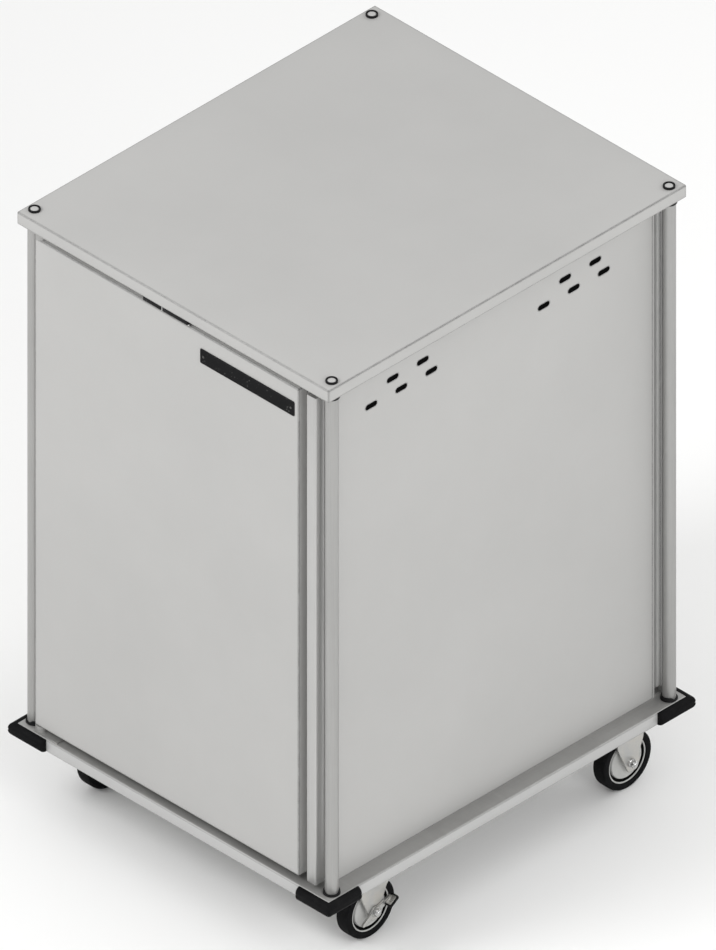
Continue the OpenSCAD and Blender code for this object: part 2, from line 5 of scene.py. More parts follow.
import bmesh
import bpy
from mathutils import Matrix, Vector


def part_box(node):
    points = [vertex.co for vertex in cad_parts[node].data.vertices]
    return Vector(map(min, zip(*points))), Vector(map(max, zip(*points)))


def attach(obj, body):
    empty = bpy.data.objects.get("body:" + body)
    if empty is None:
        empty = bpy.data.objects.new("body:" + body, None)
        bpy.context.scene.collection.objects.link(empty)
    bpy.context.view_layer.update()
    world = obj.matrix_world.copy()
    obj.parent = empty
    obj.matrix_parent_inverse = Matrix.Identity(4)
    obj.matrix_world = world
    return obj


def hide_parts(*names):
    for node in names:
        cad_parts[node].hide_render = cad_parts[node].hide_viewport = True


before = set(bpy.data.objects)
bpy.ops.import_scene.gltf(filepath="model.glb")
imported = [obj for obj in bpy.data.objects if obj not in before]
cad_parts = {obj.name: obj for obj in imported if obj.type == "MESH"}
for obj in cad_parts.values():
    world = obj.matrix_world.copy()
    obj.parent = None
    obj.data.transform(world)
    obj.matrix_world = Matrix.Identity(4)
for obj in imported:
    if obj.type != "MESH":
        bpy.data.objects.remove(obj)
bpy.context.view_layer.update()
MM = 0.001

# ---------------------------------------------------------------- frame places


def span(node):
    """A CAD node's lowest and highest corner"""
    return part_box(node)


def middle(node):
    """The middle of a CAD node's box"""
    lo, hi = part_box(node)
    return (lo + hi) / 2


CORNERS = {"fl": (-1, -1), "fr": (1, -1), "rl": (-1, 1), "rr": (1, 1)}
ENDS = {"front": -1, "rear": 1}

# ---------------------------------------------------------------- mesh helpers


def on_z(u, v, w):
    """Outline in x and y, levels along z"""
    return Vector((u, v, w))


def on_y(u, v, w):
    """Outline in x and z, levels along y"""
    return Vector((u, w, v))


def on_x(u, v, w):
    """Outline in y and z, levels along x"""
    return Vector((w, u, v))


def axis_place(axis):
    """Place function and sense of an axis name: "x", "y", "z" or one with a minus sign"""
    return {"x": on_x, "y": on_y, "z": on_z}[axis[-1]], -1 if axis[0] == "-" else 1


def x_axis(sense):
    """Name of the x axis with that sense"""
    return "x" if sense > 0 else "-x"


def face_of(lo, hi, axes):
    """Half sizes and centre of a box in two axes, "xz" for instance"""
    low, high = [[getattr(end, axis) for axis in axes] for end in (lo, hi)]
    return [(b - a) / 2 for a, b in zip(low, high)], [(b + a) / 2 for a, b in zip(low, high)]


def arc(centre, radius, start, end, steps):
    """Points on an arc from start to end, in degrees"""
    turns = [math.radians(start + (end - start) * i / steps) for i in range(steps + 1)]
    return [(centre[0] + radius * math.cos(a), centre[1] + radius * math.sin(a)) for a in turns]


def round_rect(half, radius, centre=(0, 0), steps=4):
    """Outline of a rectangle with round corners"""
    u, v = half[0] - radius, half[1] - radius
    points = []
    for i, (cu, cv) in enumerate(((1, 1), (-1, 1), (-1, -1), (1, -1))):
        points += arc((centre[0] + cu * u, centre[1] + cv * v), radius, 90 * i, 90 * i + 90, steps)
    return points


def stadium(length, height, centre=(0, 0), steps=10):
    """Outline of a slot with round ends"""
    reach = (length - height) / 2
    return (arc((centre[0] + reach, centre[1]), height / 2, -90, 90, steps)
            + arc((centre[0] - reach, centre[1]), height / 2, 90, 270, steps))


def soft_outline(points, radius, steps=4):
    """Rounds the corners of an outline"""
    soft = []
    for i, p in enumerate(points):
        here = Vector(p)
        back = Vector(points[i - 1]) - here
        on = Vector(points[(i + 1) % len(points)]) - here
        a = here + back.normalized() * min(radius, 0.45 * back.length)
        b = here + on.normalized() * min(radius, 0.45 * on.length)
        for k in range(steps + 1):
            t = k / steps
            soft.append(tuple((1 - t) ** 2 * a + 2 * t * (1 - t) * here + t ** 2 * b))
    return soft


def bend_profile(bend, face, sense=1):
    """(inset, level) points of a bend from a sheet's face to its side; sense is -1 for a low face"""
    turns = [math.radians(a) for a in (0, 22, 45, 68, 90)]
    return [(bend - bend * math.sin(a), face - sense * (bend - bend * math.cos(a))) for a in turns]


def tint(bm, start, index):
    """Gives the faces added since start another material"""
    bm.faces.ensure_lookup_table()
    for face in bm.faces[start:]:
        face.material_index = index


def rings_to_mesh(bm, rings, caps=(True, True), loop=False, materials=None):
    """Joins rings of points with quads. A ring is a closed line; loop also joins the last to the first"""
    rows = [[bm.verts.new(p) for p in ring] for ring in rings]
    pairs = list(zip(rows, rows[1:] + rows[:1])) if loop else list(zip(rows, rows[1:]))
    for k, (a, b) in enumerate(pairs):
        for i in range(len(a)):
            j = (i + 1) % len(a)
            face = bm.faces.new((a[i], a[j], b[j], b[i]))
            face.material_index = materials[k] if materials else 0
    if not loop:
        if caps[0]:
            bm.faces.new(rows[0][::-1])
        if caps[1]:
            last = bm.faces.new(rows[-1])
            last.material_index = materials[-1] if materials else 0
    return bm


def add_prism(bm, outline, low, high, place):
    """An outline drawn out between two levels"""
    return rings_to_mesh(bm, [[place(u, v, w) for u, v in outline] for w in (low, high)])


def add_pan(bm, half, centre, radius, profile, place, materials=None):
    """A plate or folded pan: each (inset, level) of the profile is one round-cornered ring"""
    rings = []
    for inset, level in profile:
        ring = round_rect((half[0] - inset, half[1] - inset), max(radius - inset, 0.4 * MM), centre)
        rings.append([place(u, v, level) for u, v in ring])
    return rings_to_mesh(bm, rings, materials=materials)


def add_frame(bm, half, centre, radius, profile, place):
    """A ring that follows a rectangle: the profile is a closed loop of (inset, level)"""
    rings = []
    for inset, level in profile:
        ring = round_rect((half[0] - inset, half[1] - inset), max(radius - inset, 0.6 * MM), centre)
        rings.append([place(u, v, level) for u, v in ring])
    return rings_to_mesh(bm, rings, loop=True)


def add_lathe(bm, profile, centre, axis, steps=64, loop=False, materials=None):
    """Turns (radius, height) points about the named axis through centre"""
    place, side = axis_place(axis)
    turns = [2 * math.pi * i / steps for i in range(steps)]
    rings = [[Vector(centre) + place(r * math.cos(a), r * math.sin(a), side * h) for a in turns]
             for r, h in profile]
    return rings_to_mesh(bm, rings, loop=loop, materials=materials)


def add_rounded_box(bm, lo, hi, radius, place=on_z, edge=None):
    """A box with round corners in its outline and softened ends"""
    edge = edge if edge is not None else min(radius, 0.6 * MM)
    half = ((hi[0] - lo[0]) / 2, (hi[1] - lo[1]) / 2)
    centre = ((hi[0] + lo[0]) / 2, (hi[1] + lo[1]) / 2)
    profile = [(edge, lo[2]), (0.3 * edge, lo[2] + 0.3 * edge), (0, lo[2] + edge),
               (0, hi[2] - edge), (0.3 * edge, hi[2] - 0.3 * edge), (edge, hi[2])]
    return add_pan(bm, half, centre, radius, profile, place)


def make_piece(name, bm, body, materials, nodes=(), edge=0.0, angle=32):
    """Turns a bmesh into a piece that rides on a CAD body and stands for CAD nodes"""
    bmesh.ops.remove_doubles(bm, verts=bm.verts, dist=0.002 * MM)
    bmesh.ops.recalc_face_normals(bm, faces=bm.faces)
    mesh = bpy.data.meshes.new(name)
    bm.to_mesh(mesh)
    bm.free()
    for material in materials if isinstance(materials, (list, tuple)) else [materials]:
        mesh.materials.append(material)
    mesh.shade_smooth()
    mesh.set_sharp_from_angle(angle=math.radians(angle))
    obj = bpy.data.objects.new(name, mesh)
    bpy.context.scene.collection.objects.link(obj)
    if edge:
        soften(obj, edge)
    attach(obj, body)
    if nodes:
        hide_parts(*nodes)
    return obj


def soften(obj, width, segments=2):
    """Rounds an object's sharp edges"""
    bevel = obj.modifiers.new("edges", "BEVEL")
    bevel.width = width
    bevel.segments = segments
    bevel.limit_method = "ANGLE"
    bevel.angle_limit = math.radians(40)
    bevel.harden_normals = True


def dress(node, material, edge=0.0):
    """Keeps a CAD node, with a better material and softened edges"""
    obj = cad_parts[node]
    obj.data.materials.clear()
    obj.data.materials.append(material)
    if edge:
        soften(obj, edge)


# ---------------------------------------------------------------- material helpers


class Shader:
    """A Principled material and short ways to add nodes to it"""

    def __init__(self, name, colour, metallic=0.0, roughness=0.5):
        self.material = bpy.data.materials.new(name)
        self.material.use_nodes = True
        self.tree = self.material.node_tree
        self.bsdf = self.tree.nodes["Principled BSDF"]
        self.colour = (*colour, 1.0)
        self.set("Base Color", self.colour)
        self.set("Metallic", metallic)
        self.set("Roughness", roughness)
        self.place = self.tree.nodes.new("ShaderNodeTexCoord").outputs["Object"]

    def set(self, socket, value):
        """One value all over, on the shader's own socket"""
        self.bsdf.inputs[socket].default_value = value

    def link(self, source, target):
        self.tree.links.new(source, target)

    def node(self, kind, **inputs):
        """A new node, with each input linked or set"""
        made = self.tree.nodes.new(kind)
        for key, value in inputs.items():
            socket = made.inputs[key.replace("_", " ")]
            if isinstance(value, bpy.types.NodeSocket):
                self.link(value, socket)
            else:
                socket.default_value = value
        return made

    def stretched(self, scale):
        """Object coordinates in metres, scaled along each axis"""
        return self.node("ShaderNodeMapping", Vector=self.place, Scale=scale).outputs[0]

    def noise(self, scale, detail=3.0, rough=0.55, vector=None):
        made = self.node("ShaderNodeTexNoise", Vector=vector or self.place, Scale=scale,
                         Detail=detail, Roughness=rough)
        return made.outputs["Fac"]

    def cells(self, scale, vector=None):
        made = self.node("ShaderNodeTexVoronoi", Vector=vector or self.place, Scale=scale)
        return made.outputs["Distance"]

    def remap(self, value, low, high, to_low=0.0, to_high=1.0):
        """A value's range stretched to another one, and clamped"""
        made = self.node("ShaderNodeMapRange", Value=value, From_Min=low, From_Max=high,
                         To_Min=to_low, To_Max=to_high)
        return made.outputs[0]

    def maths(self, kind, a, b=0.0):
        """A sum or product of sockets or numbers"""
        made = self.tree.nodes.new("ShaderNodeMath")
        made.operation = kind
        for socket, value in zip(made.inputs, (a, b)):
            if isinstance(value, bpy.types.NodeSocket):
                self.link(value, socket)
            else:
                socket.default_value = value
        return made.outputs[0]

    def mix(self, fac, a, b):
        """Colour b over a by fac"""
        made = self.tree.nodes.new("ShaderNodeMix")
        made.data_type = "RGBA"
        for socket, value in ((made.inputs[0], fac), (made.inputs[6], a), (made.inputs[7], b)):
            if isinstance(value, bpy.types.NodeSocket):
                self.link(value, socket)
            elif isinstance(value, tuple):
                socket.default_value = value if len(value) == 4 else (*value, 1.0)
            else:
                socket.default_value = value
        return made.outputs[2]

    def edges(self, radius, flat_at=0.98, sharp_at=0.8):
        """1 on sharp edges and 0 on flat faces, from how a rounded normal differs"""
        bevel = self.tree.nodes.new("ShaderNodeBevel")
        bevel.samples = 4
        bevel.inputs["Radius"].default_value = radius
        flat = self.tree.nodes.new("ShaderNodeNewGeometry")
        dot = self.tree.nodes.new("ShaderNodeVectorMath")
        dot.operation = "DOT_PRODUCT"
        self.link(bevel.outputs[0], dot.inputs[0])
        self.link(flat.outputs["Normal"], dot.inputs[1])
        return self.remap(dot.outputs["Value"], flat_at, sharp_at)

    def paint(self, colour):
        self.link(colour, self.bsdf.inputs["Base Color"])

    def rough(self, value):
        self.link(value, self.bsdf.inputs["Roughness"])

    def bump(self, height, depth, strength=1.0, under=None):
        """Adds relief of that depth in metres"""
        made = self.node("ShaderNodeBump", Height=height, Distance=depth, Strength=strength)
        if under is not None:
            self.link(under, made.inputs["Normal"])
        self.link(made.outputs[0], self.bsdf.inputs["Normal"])
        return made.outputs[0]


def scaled(colour, factor):
    """A colour made darker or lighter"""
    return tuple(min(1.0, c * factor) for c in colour[:3]) + (1.0,)


def painted_sheet(name, colour, roughness=0.42, edge_tone=0.24):
    """Powder-coated sheet: fine orange peel, faint clouding, handling marks, painted shade in inner
    corners and dark lines painted along the bends
    """
    s = Shader(name, colour, 0.0, roughness)
    cloud = s.noise(2.2, 4.0, 0.6)
    fine = s.noise(420.0, 2.0, 0.5)
    smear = s.noise(1.0, 5.0, 0.65, s.stretched((9.0, 9.0, 2.5)))
    tone = s.mix(s.remap(cloud, 0.3, 0.7), scaled(colour, 0.965), scaled(colour, 1.03))
    tone = s.mix(s.remap(fine, 0.35, 0.65, 0.0, 0.05), tone, scaled(colour, 0.8))
    edge_noise = s.remap(s.noise(38.0, 3.0, 0.6), 0.25, 0.6, 0.65, 1.0)
    # Painted shade: the edge mask, broken up by noise, darkens inner corners and creases as shade and
    # paints dark lines along the bends
    tone = s.mix(s.maths("MULTIPLY", s.edges(4 * MM, 0.9985, 0.965), edge_noise), tone, scaled(colour, edge_tone))
    s.paint(tone)
    s.rough(s.maths("ADD", s.remap(smear, 0.3, 0.7, roughness - 0.06, roughness + 0.07),
                    s.remap(fine, 0.3, 0.7, -0.02, 0.02)))
    peel = s.bump(s.noise(330.0, 2.0, 0.5), 0.06 * MM, 0.35)
    s.bump(s.noise(3.0, 2.0, 0.5), 0.8 * MM, 0.12, peel)
    return s.material


def brushed_metal(name, colour, grain, roughness=0.34, metallic=1.0, streak=0.1, wear=0.25,
                  relief=0.02):
    """Satin metal: streaks along the grain axis, faint clouding and bright edges"""
    s = Shader(name, colour, metallic, roughness)
    s.set("Anisotropic", 0.35)
    fine = [6.0 if axis == grain else 900.0 for axis in "xyz"]
    coarse = [2.0 if axis == grain else 150.0 for axis in "xyz"]
    hair = s.noise(1.0, 3.0, 0.6, s.stretched(fine))
    band = s.noise(1.0, 3.0, 0.5, s.stretched(coarse))
    cloud = s.noise(5.0, 4.0, 0.6)
    tone = s.mix(s.remap(hair, 0.3, 0.7), scaled(colour, 1 - streak), scaled(colour, 1 + 0.6 * streak))
    tone = s.mix(s.remap(cloud, 0.45, 0.75, 0.0, 0.3), tone, scaled(colour, 0.88))
    tone = s.mix(s.maths("MULTIPLY", s.edges(1.0 * MM), wear), tone, scaled(colour, 1.3))
    s.paint(tone)
    s.rough(s.maths("ADD", s.remap(band, 0.3, 0.7, roughness - 0.06, roughness + 0.06),
                    s.remap(cloud, 0.4, 0.7, 0.0, 0.07)))
    s.bump(hair, relief * MM, 0.4)
    return s.material


def cast_zinc(name, colour, roughness=0.36):
    """Zinc-plated pressed steel: soft spangle, slightly warm patches, and near-black painted shade lines
    along edges and in inner corners
    """
    s = Shader(name, colour, 0.85, roughness)
    spangle = s.cells(260.0)
    patch = s.noise(40.0, 3.0, 0.6)
    warm = (colour[0] * 1.03, colour[1], colour[2] * 0.95, 1.0)
    tone = s.mix(s.remap(patch, 0.35, 0.65), scaled(colour, 0.9), warm)
    tone = s.mix(s.remap(spangle, 0.1, 0.6, 0.0, 0.18), tone, scaled(colour, 0.78))
    # Painted shade: near-black lines on edges and inner corners stand in for shade lines, such as the one
    # between a fork leg and its wheel
    outline = s.maths("MULTIPLY", s.edges(2.4 * MM, 0.99, 0.86), 0.92)
    tone = s.mix(outline, tone, scaled(colour, 0.1))
    s.paint(tone)
    s.rough(s.remap(patch, 0.3, 0.7, roughness - 0.08, roughness + 0.12))
    s.bump(s.noise(500.0, 2.0, 0.5), 0.03 * MM, 0.4)
    return s.material


def moulded(name, colour, roughness=0.45, grain=900.0, relief=0.05, edge_tone=1.6, shine=0.4,
             mottle=0.15):
    """Moulded plastic: fine spark-eroded grain, faint flow clouding, and edges and inner corners tinted
    lighter or darker by a factor
    """
    s = Shader(name, colour, 0.0, roughness)
    s.set("Specular IOR Level", shine)
    cloud = s.noise(60.0, 3.0, 0.6)
    tone = s.mix(s.remap(cloud, 0.3, 0.7), scaled(colour, 1 - mottle), scaled(colour, 1 + mottle))
    tone = s.mix(s.maths("MULTIPLY", s.edges(0.8 * MM), 0.45), tone, scaled(colour, edge_tone))
    s.paint(tone)
    s.rough(s.remap(s.noise(110.0, 4.0, 0.6), 0.3, 0.7, roughness - 0.08, roughness + 0.1))
    s.bump(s.cells(grain), relief * MM, 0.3)
    return s.material


def rubber(name, colour, roughness=0.68, dust=0.35, dust_colour=(0.16, 0.155, 0.145), shine=0.06):
    """Black rubber: pitted skin, grey scuffs on the edges and a little dust in patches"""
    s = Shader(name, colour, 0.0, roughness)
    s.set("Specular IOR Level", shine)
    patch = s.noise(55.0, 5.0, 0.65)
    specks = s.noise(700.0, 2.0, 0.5)
    tone = s.mix(s.remap(patch, 0.35, 0.7), scaled(colour, 0.85), scaled(colour, 1.5))
    tone = s.mix(s.remap(s.maths("MULTIPLY", patch, specks), 0.3, 0.42, 0.0, dust), tone, dust_colour)
    tone = s.mix(s.maths("MULTIPLY", s.edges(1.2 * MM), 0.22), tone, dust_colour)
    s.paint(tone)
    s.rough(s.remap(patch, 0.3, 0.7, roughness - 0.08, roughness + 0.12))
    s.bump(specks, 0.09 * MM, 0.45)
    return s.material


def rigid_foam(name, colour):
    """Cut polyurethane foam: open cells and yellowed patches"""
    s = Shader(name, colour, 0.0, 0.9)
    cell = s.cells(650.0)
    patch = s.noise(9.0, 4.0, 0.6)
    s.paint(s.mix(s.remap(patch, 0.3, 0.7), scaled(colour, 0.9), scaled(colour, 1.06)))
    s.rough(s.remap(cell, 0.0, 0.6, 0.8, 1.0))
    s.bump(cell, 0.35 * MM, 0.6)
    return s.material


def worn_deck(name, colour):
    """Platform sheet: dull steel with drag marks, grey scuffs and bright bends"""
    s = Shader(name, colour, 0.55, 0.46)
    drag = s.noise(1.0, 4.0, 0.65, s.stretched((14.0, 90.0, 30.0)))
    fine = s.noise(1.0, 3.0, 0.55, s.stretched((700.0, 7.0, 700.0)))
    cloud = s.noise(7.0, 4.0, 0.6)
    tone = s.mix(s.remap(cloud, 0.3, 0.7), scaled(colour, 0.9), scaled(colour, 1.08))
    tone = s.mix(s.remap(drag, 0.55, 0.75, 0.0, 0.3), tone, scaled(colour, 1.3))
    tone = s.mix(s.remap(fine, 0.4, 0.7, 0.0, 0.14), tone, scaled(colour, 0.7))
    tone = s.mix(s.maths("MULTIPLY", s.edges(1.5 * MM), 0.4), tone, scaled(colour, 1.35))
    s.paint(tone)
    s.rough(s.remap(drag, 0.3, 0.7, 0.38, 0.56))
    s.bump(fine, 0.03 * MM, 0.4)
    return s.material


def blank_label(name, colour):
    """Satin black plate with faint specks and rubbed rim"""
    s = Shader(name, colour, 0.0, 0.36)
    s.set("Specular IOR Level", 0.05)
    speck = s.remap(s.noise(260.0, 2.0, 0.4), 0.7, 0.76, 0.0, 0.5)
    tone = s.mix(speck, scaled(colour, 1.0), (0.3, 0.3, 0.29, 1.0))
    tone = s.mix(s.maths("MULTIPLY", s.edges(0.7 * MM), 0.4), tone, (0.12, 0.12, 0.12, 1.0))
    s.paint(tone)
    s.rough(s.remap(s.noise(30.0, 4.0, 0.6), 0.3, 0.7, 0.3, 0.46))
    s.bump(s.noise(1200.0, 2.0, 0.5), 0.02 * MM, 0.3)
    return s.material


PANEL_GREY = (0.425, 0.422, 0.413)
mat_panel = painted_sheet("panel_paint", PANEL_GREY)
BARE_STEEL = (0.6, 0.6, 0.595)
SATIN_GREY = (0.5, 0.498, 0.49)
RUBBER_BLACK = (0.005, 0.005, 0.0054)
mat_cover = painted_sheet("cover_paint", PANEL_GREY, roughness=0.46)
# Deck steel darker than the skirt's paint: a dull steel tone with painted shade from the cover's overhang
mat_deck_steel_shaded = worn_deck("deck_steel_painted_shade", (0.355, 0.352, 0.344))
mat_skirt = painted_sheet("skirt_paint", (0.45, 0.45, 0.445), roughness=0.4)
mat_under = brushed_metal("under_steel", (0.45, 0.45, 0.44), "x", roughness=0.42, metallic=0.9)
mat_post = brushed_metal("post_aluminium", (0.385, 0.383, 0.375), "z", roughness=0.36, metallic=0.75,
                         streak=0.06)
mat_grip = brushed_metal("grip_aluminium", SATIN_GREY, "z", roughness=0.38, metallic=0.7, streak=0.06)
mat_liner = brushed_metal("liner_steel", BARE_STEEL, "y", roughness=0.36, streak=0.05, relief=0.008)
mat_rack = brushed_metal("rack_steel", (0.6, 0.6, 0.59), "y", roughness=0.36, streak=0.03, wear=0.4,
                         relief=0.004)
mat_bolt = brushed_metal("bolt_steel", BARE_STEEL, "x", roughness=0.24, streak=0.05, wear=0.4)
mat_head = brushed_metal("bolt_head_satin", SATIN_GREY, "x", roughness=0.5, metallic=0.25, streak=0.05,
                         wear=0.3)
mat_pivot = brushed_metal("pivot_steel", (0.24, 0.238, 0.232), "z", roughness=0.5, metallic=0.6,
                          streak=0.05, wear=0.3)
mat_rivet = brushed_metal("rivet_dark", (0.07, 0.069, 0.067), "x", roughness=0.45, metallic=0.5,
                          streak=0.05, wear=0.5)
mat_zinc = cast_zinc("caster_zinc", (0.58, 0.58, 0.57))
mat_core = moulded("wheel_core_plastic", (0.46, 0.46, 0.447), roughness=0.42, grain=700.0, relief=0.04,
                   edge_tone=0.4, mottle=0.05)
mat_black = moulded("black_plastic", (0.007, 0.007, 0.0075), roughness=0.42, grain=1000.0, edge_tone=3.0,
                    shine=0.12)
# Near black: the vent inserts' own colour, and painted shade in the wheel cores' grooves
mat_black_insert_groove_shade = moulded("black_insert_and_groove_shade", (0.004, 0.004, 0.004), roughness=0.7, grain=800.0, relief=0.03,
                   edge_tone=1.5, shine=0.05)
mat_frame = moulded("breaker_plastic", (0.42, 0.42, 0.41), roughness=0.5, relief=0.04, edge_tone=0.5,
                    mottle=0.03)
mat_back = moulded("door_back_plastic", (0.47, 0.47, 0.46), roughness=0.46, grain=700.0, edge_tone=0.5,
                   mottle=0.03)
mat_bumper = rubber("bumper_rubber", RUBBER_BLACK, roughness=0.6, dust=0.16,
                    dust_colour=(0.036, 0.035, 0.034))
mat_tyre = rubber("tyre_rubber", RUBBER_BLACK, roughness=0.7, dust=0.25,
                  dust_colour=(0.045, 0.044, 0.042))
mat_gasket = rubber("gasket_rubber", (0.03, 0.03, 0.031), roughness=0.6, dust=0.2, shine=0.15)
mat_foam = rigid_foam("rigid_foam", (0.72, 0.64, 0.44))
mat_label = blank_label("label_black", (0.005, 0.005, 0.0055))

# ---------------------------------------------------------------- platform and cover

SHEET = 2 * MM


def build_deck():
    """Folded platform: rounded bends, a skirt with a turned-in hem"""
    lo, hi = span("base_pan")
    bend, hem, corner_round, flat_from = 3 * MM, 14 * MM, 3.2 * MM, 30 * MM
    top, foot = hi.z, lo.z
    profile = [(flat_from, top)] + bend_profile(bend, top)
    skirt_from = len(profile) - 2
    profile += [(0, foot + 2 * MM), (0.6 * MM, foot + 0.6 * MM), (2 * MM, foot), (hem, foot),
                (hem, foot + SHEET), (SHEET + MM, foot + SHEET), (SHEET, foot + SHEET + MM),
                (SHEET, top - SHEET)]
    # Painted shade: the top faces take the darker deck steel, the skirt the lighter paint
    materials = [0] * skirt_from + [1] * (len(profile) - 1 - skirt_from)
    bm = add_pan(bmesh.new(), (hi.x, hi.y), (0, 0), corner_round, profile, on_z, materials)
    make_piece("deck_pan", bm, "chassis", [mat_deck_steel_shaded, mat_skirt], ["base_pan"])


def build_cover():
    """Folded cover: a flat top, rounded bends and a hemmed skirt"""
    lo, hi = span("top_cover")
    bend, corner_round, flat_from = 2.6 * MM, 3 * MM, 40 * MM
    top, foot = hi.z, lo.z
    profile = [(flat_from, top)] + bend_profile(bend, top)
    profile += [(0, foot + MM), (0.3 * MM, foot + 0.3 * MM), (MM, foot), (SHEET, foot),
                (SHEET, top - SHEET)]
    bm = add_pan(bmesh.new(), (hi.x, hi.y), (0, 0), corner_round, profile, on_z)
    make_piece("cover_shell", bm, "chassis", mat_cover, ["top_cover"])


BUMPER_LEG = 78 * MM


def bumper_section(proud, radius):
    """(reach, height) points of a squared-off half round with a groove along its middle"""
    front_power, side_power, groove, groove_half = 0.72, 0.86, 1.1 * MM, 0.9 * MM
    section = [(0.0, -radius)]
    for k in range(-8, 9):
        turn = math.radians(90 * k / 8)
        bulge = max(0.0, math.cos(turn)) ** front_power
        rise = math.copysign(abs(math.sin(turn)) ** side_power, k)
        section.append((proud * bulge, radius * rise))
    section.append((0.0, radius))
    return [(d - (groove if abs(z) < groove_half and d > 0.5 * proud else 0), z) for d, z in section]


def build_bumper(corner):
    """Rubber bumper round one corner of the platform, with shaped ends"""
    side_x, side_y = CORNERS[corner]
    deck = span("base_pan")[1]
    lo, hi = span("bumper_" + corner)
    section = bumper_section(max(abs(lo.x), abs(hi.x)) - deck.x, (hi.z - lo.z) / 2)
    mid_z = (hi.z + lo.z) / 2
    corner_round = 5 * MM
    tip = [(0.0, 0.6), (1.2 * MM, 0.86), (3.2 * MM, 1.0), (BUMPER_LEG, 1.0)]
    stations = [("first", along, swell) for along, swell in tip]
    stations += [("turn", turn, 1.0) for turn in (75, 60, 45, 30, 15)]
    stations += [("last", along, swell) for along, swell in reversed(tip)]
    rings = []
    for kind, along, swell in stations:
        ring = []
        for d, z in section:
            reach = d * swell
            r = min(reach, corner_round)
            if kind == "turn":
                turn = math.radians(along)
                u, v = reach - r + r * math.cos(turn), reach - r + r * math.sin(turn)
            else:
                straight = along - BUMPER_LEG + (reach - r) * (along == BUMPER_LEG)
                u, v = (straight, reach) if kind == "first" else (reach, straight)
            lift = z * (1 - 0.06 * (1 - swell))
            ring.append(Vector((side_x * (deck.x + u), side_y * (deck.y + v), mid_z + lift)))
        rings.append(ring)
    bm = rings_to_mesh(bmesh.new(), rings)
    make_piece("bumper_" + corner + "_rubber", bm, "chassis", mat_bumper,
               ["bumper_" + corner], angle=50)


# ---------------------------------------------------------------- posts


def build_post(corner):
    """Satin tube with a faint chamfer at each end"""
    lo, hi = span("post_" + corner)
    at = middle("post_" + corner)
    radius = (hi.x - lo.x) / 2
    wall, extra_ring = 2 * MM, 300 * MM
    profile = [(radius - wall, lo.z), (radius - MM, lo.z), (radius, lo.z + MM),
               (radius, lo.z + extra_ring), (radius, hi.z - extra_ring),
               (radius, hi.z - MM), (radius - MM, hi.z), (radius - wall, hi.z)]
    bm = add_lathe(bmesh.new(), profile, (at.x, at.y, 0), "z", 72, loop=True)
    make_piece("post_" + corner + "_tube", bm, "chassis", mat_post, ["post_" + corner])


COLLAR_H = 8.5 * MM


def add_cup(bm, corner, at, level, up, bore, outer, low_outside):
    """A cup with a foot flange and a rolled lip; its outer side can be cut down to its floor"""
    side_x, side_y = CORNERS[corner]
    facing = math.atan2(side_y, side_x)
    foot, floor, open_angle, ease = 2.8 * MM, 3.2 * MM, 38, 40
    profile = [(bore - MM, 0.4 * MM), (outer - 0.5 * MM, 0), (outer, 0.5 * MM), (outer, 2.2 * MM),
               (outer - 0.5 * MM, foot), (outer - 0.9 * MM, COLLAR_H - 1.6 * MM),
               (outer - 1.3 * MM, COLLAR_H - 0.5 * MM), (outer - 2 * MM, COLLAR_H),
               (bore + 0.4 * MM, COLLAR_H), (bore, COLLAR_H - 0.5 * MM), (bore - MM, COLLAR_H - 3 * MM)]
    steps = 72
    rings = []
    for r, h in profile:
        ring = []
        for i in range(steps):
            a = 2 * math.pi * i / steps
            away = math.degrees(abs((a - facing + math.pi) % (2 * math.pi) - math.pi))
            t = min(1.0, max(0.0, (away - open_angle) / ease))
            cut = (COLLAR_H - floor) * (1 - t * t * (3 - 2 * t)) if low_outside else 0
            lowered = h - cut * max(0.0, (h - foot) / (COLLAR_H - foot))
            ring.append(Vector((at.x + r * math.cos(a), at.y + r * math.sin(a), level + up * lowered)))
        rings.append(ring)
    rings_to_mesh(bm, rings, loop=True)


def build_collars():
    """Moulded cups at both ends of every post, and the bushes that hold the cover's bolt heads"""
    deck_top = span("base_pan")[1].z
    under = span("top_cover")[0].z
    ends = span("post_collars")[1]
    hole, bowl, bush, seat_depth = 5.2 * MM, 9.1 * MM, 12 * MM, 4.2 * MM
    foot, seat, rim = under + 2 * MM, ends.z - seat_depth, ends.z
    bush_profile = [(hole, foot), (bush, foot), (bush, rim - 0.7 * MM),
                    (bush - 0.2 * MM, rim - 0.2 * MM), (bush - 0.7 * MM, rim),
                    (bowl + 0.4 * MM, rim), (bowl, rim - 0.4 * MM), (bowl, seat), (hole, seat)]
    bm = bmesh.new()
    for corner in CORNERS:
        at = middle("post_" + corner)
        lo, hi = span("post_" + corner)
        bore = (hi.x - lo.x) / 2
        outer = ends.x - abs(at.x)
        add_cup(bm, corner, at, deck_top, 1, bore, outer, True)
        add_cup(bm, corner, at, under, -1, bore, outer, False)
        add_lathe(bm, bush_profile, (at.x, at.y, 0), "z", 64, loop=True)
    make_piece("post_cups", bm, "chassis", mat_black, ["post_collars"], angle=50)


def domed_head(bm, centre, axis, radius, height):
    """A shallow domed bolt head with a rounded rim"""
    profile = [(radius * 0.7, 0), (radius * 0.98, 0), (radius, 0.1 * height),
               (radius, 0.38 * height), (radius * 0.985, 0.5 * height)]
    for turn in (math.radians(a) for a in (22, 38, 52, 66, 80)):
        profile.append((radius * math.cos(turn), height * (0.4 + 0.6 * math.sin(turn))))
    add_lathe(bm, profile, centre, axis, 56)


